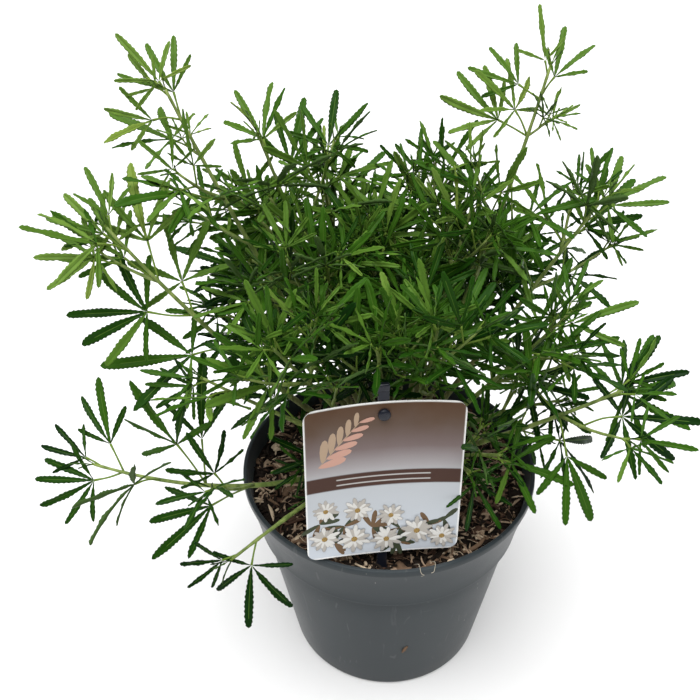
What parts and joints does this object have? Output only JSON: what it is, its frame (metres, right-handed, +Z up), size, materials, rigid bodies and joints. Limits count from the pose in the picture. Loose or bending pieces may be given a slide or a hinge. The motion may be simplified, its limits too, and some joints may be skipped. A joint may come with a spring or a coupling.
{
  "type": "potted shrub",
  "caption": "Young evergreen shrub with narrow, finger-like leaflets on arching shoots, in a round tapering nursery pot with bark mulch and a plant label.",
  "frame": {"origin": "middle of the pot's flat underside, on the ground", "axes": "+Z up; +X to the right of the plant as it is seen from its label's side; -Y towards that viewer"},
  "size_m": [0.3788, 0.2759, 0.4132],
  "materials": {
    "pot": "satin, scuffed",
    "soil": "rough bark mulch",
    "bark": "rough bark",
    "label_card": "satin printed card",
    "label_stake": "satin",
    "foliage": "leaf, waxy sheen"
  },
  "bodies": {
    "root": {"pot": "pot", "soil": "soil", "foot": "bark", "label_card": "label_card", "label_stake": "label_stake", "bough_upper_left": "bark", "bough_left": "bark", "bough_left_low": "bark", "bough_left_arch": "bark", "bough_over_rim": "bark", "bough_left_front": "bark", "bough_top_left": "bark", "bough_top_inner": "bark", "bough_top_middle": "bark", "bough_top_right": "bark", "bough_tall_right": "bark", "bough_right_upper": "bark", "bough_right_middle": "bark", "bough_right_low": "bark", "bough_right_front": "bark", "bough_centre_right": "bark", "bough_centre_front": "bark", "bough_centre_left": "bark", "bough_inner_left": "bark", "bough_inner_right": "bark", "bough_inner_top": "bark", "bough_back_left": "bark", "bough_back_right": "bark", "bough_back": "bark", "bough_back_low_left": "bark", "bough_back_low_right": "bark", "bough_side_right": "bark", "mass_upper_left": "foliage", "mass_left": "foliage", "mass_left_low": "foliage", "mass_left_arch": "foliage", "mass_over_rim": "foliage", "mass_left_front": "foliage", "mass_top_left": "foliage", "mass_top_inner": "foliage", "mass_top_middle": "foliage", "mass_top_right": "foliage", "mass_tall_right": "foliage", "mass_right_upper": "foliage", "mass_right_middle": "foliage", "mass_right_low": "foliage", "mass_right_front": "foliage", "mass_centre_right": "foliage", "mass_centre_front": "foliage", "mass_centre_left": "foliage", "mass_inner_left": "foliage", "mass_inner_right": "foliage", "mass_inner_top": "foliage", "mass_back_left": "foliage", "mass_back_right": "foliage", "mass_back": "foliage", "mass_back_low_left": "foliage", "mass_back_low_right": "foliage", "mass_side_right": "foliage"}
  },
  "joints": []
}
